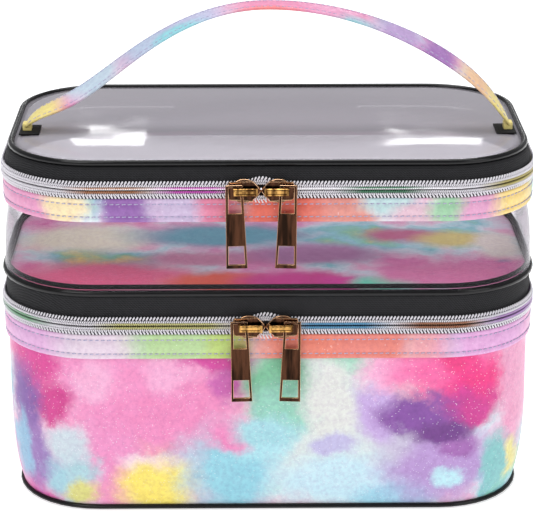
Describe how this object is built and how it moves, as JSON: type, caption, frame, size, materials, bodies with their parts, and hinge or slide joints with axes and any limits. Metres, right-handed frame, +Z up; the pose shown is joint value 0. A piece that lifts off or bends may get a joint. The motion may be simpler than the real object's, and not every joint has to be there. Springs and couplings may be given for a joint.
{
  "type": "two tier make-up case",
  "caption": "Soft two-tier make-up case: padded lower compartment, clear upper compartment and lid, two-way zips with flat pulls, arched carrying strap.",
  "frame": {"origin": "middle of the flat underside", "axes": "+Z up, +X to the right along the case's length, the zips' sliders face -Y"},
  "size_m": [0.2406, 0.1452, 0.2231],
  "materials": {
    "tie_dye_leather": "soft gloss, fine glitter",
    "lining_fabric": "matte plain weave",
    "stiffener": "matte",
    "black_edging": "gloss",
    "woven_tape": "matte fine weave",
    "zip_teeth": "pearl white with tinted middles",
    "clear_sheet": "clear gloss",
    "gold_plate": "polished plating",
    "strap_leather": "soft gloss"
  },
  "bodies": {
    "case": {"lower_side_wall": "tie_dye_leather", "lower_wall_lining": "lining_fabric", "bottom_panel": "tie_dye_leather", "bottom_board": "stiffener", "bottom_lining": "lining_fabric", "bottom_piping": "black_edging", "lower_inner_binding": "woven_tape", "lower_zip_band": "tie_dye_leather", "lower_zip_case_tape": "woven_tape", "lower_zip_case_teeth": "zip_teeth", "lower_hinge_case_leaf": "tie_dye_leather"},
    "deck": {"lower_zip_deck_teeth": "zip_teeth", "deck_tape": "woven_tape", "lower_hinge_deck_leaf": "tie_dye_leather", "deck_piping": "black_edging", "deck_panel": "tie_dye_leather", "deck_board": "stiffener", "deck_lining": "lining_fabric", "upper_clear_wall": "clear_sheet", "deck_inner_binding": "woven_tape", "upper_zip_band": "tie_dye_leather", "upper_zip_deck_tape": "woven_tape", "upper_zip_deck_teeth": "zip_teeth", "upper_hinge_deck_leaf": "tie_dye_leather"},
    "lid": {"upper_zip_lid_teeth": "zip_teeth", "lid_tape": "woven_tape", "upper_hinge_lid_leaf": "tie_dye_leather", "lid_piping": "black_edging", "lid_clear_panel": "clear_sheet", "lid_inner_binding": "woven_tape", "handle_left_anchor": "woven_tape", "handle_right_anchor": "woven_tape"},
    "handle": {"handle_outer_layer": "strap_leather", "handle_inner_layer": "strap_leather"},
    "lower_left_slider": {"lower_left_slider": "gold_plate", "lower_left_slider_bridge": "gold_plate"},
    "lower_left_pull": {"lower_left_pull": "gold_plate"},
    "lower_right_slider": {"lower_right_slider": "gold_plate", "lower_right_slider_bridge": "gold_plate"},
    "lower_right_pull": {"lower_right_pull": "gold_plate"},
    "upper_left_slider": {"upper_left_slider": "gold_plate", "upper_left_slider_bridge": "gold_plate"},
    "upper_left_pull": {"upper_left_pull": "gold_plate"},
    "upper_right_slider": {"upper_right_slider": "gold_plate", "upper_right_slider_bridge": "gold_plate"},
    "upper_right_pull": {"upper_right_pull": "gold_plate"}
  },
  "joints": [
    {"name": "deck_hinge", "type": "hinge", "parent": "case", "child": "deck", "pos_m": [0, 0.071, 0.0907], "axis": [-1, 0, 0], "range_deg": [0, 95]},
    {"name": "lid_hinge", "type": "hinge", "parent": "deck", "child": "lid", "pos_m": [0, 0.0695, 0.15235], "axis": [-1, 0, 0], "range_deg": [0, 100]},
    {"name": "handle_lean", "type": "hinge", "parent": "lid", "child": "handle", "pos_m": [0, -0.016, 0.1669], "axis": [-1, 0, 0], "range_deg": [-30, 30]},
    {"name": "lower_left_slide", "type": "slide", "parent": "case", "child": "lower_left_slider", "axis": [-1, 0, 0], "range_m": [0, 0.0602]},
    {"name": "lower_left_pull_swing", "type": "hinge", "parent": "lower_left_slider", "child": "lower_left_pull", "pos_m": [-0.01305, -0.0727, 0.0907], "axis": [0, 1, 0], "range_deg": [-8, 90]},
    {"name": "lower_right_slide", "type": "slide", "parent": "case", "child": "lower_right_slider", "axis": [1, 0, 0], "range_m": [0, 0.0632]},
    {"name": "lower_right_pull_swing", "type": "hinge", "parent": "lower_right_slider", "child": "lower_right_pull", "pos_m": [0.01005, -0.0727, 0.0907], "axis": [0, -1, 0], "range_deg": [-8, 90]},
    {"name": "upper_left_slide", "type": "slide", "parent": "deck", "child": "upper_left_slider", "axis": [-1, 0, 0], "range_m": [0, 0.0584]},
    {"name": "upper_left_pull_swing", "type": "hinge", "parent": "upper_left_slider", "child": "upper_left_pull", "pos_m": [-0.01495, -0.0712, 0.15235], "axis": [0, 1, 0], "range_deg": [-8, 90]},
    {"name": "upper_right_slide", "type": "slide", "parent": "deck", "child": "upper_right_slider", "axis": [1, 0, 0], "range_m": [0, 0.0652]},
    {"name": "upper_right_pull_swing", "type": "hinge", "parent": "upper_right_slider", "child": "upper_right_pull", "pos_m": [0.00815, -0.0712, 0.15235], "axis": [0, -1, 0], "range_deg": [-8, 90]}
  ]
}
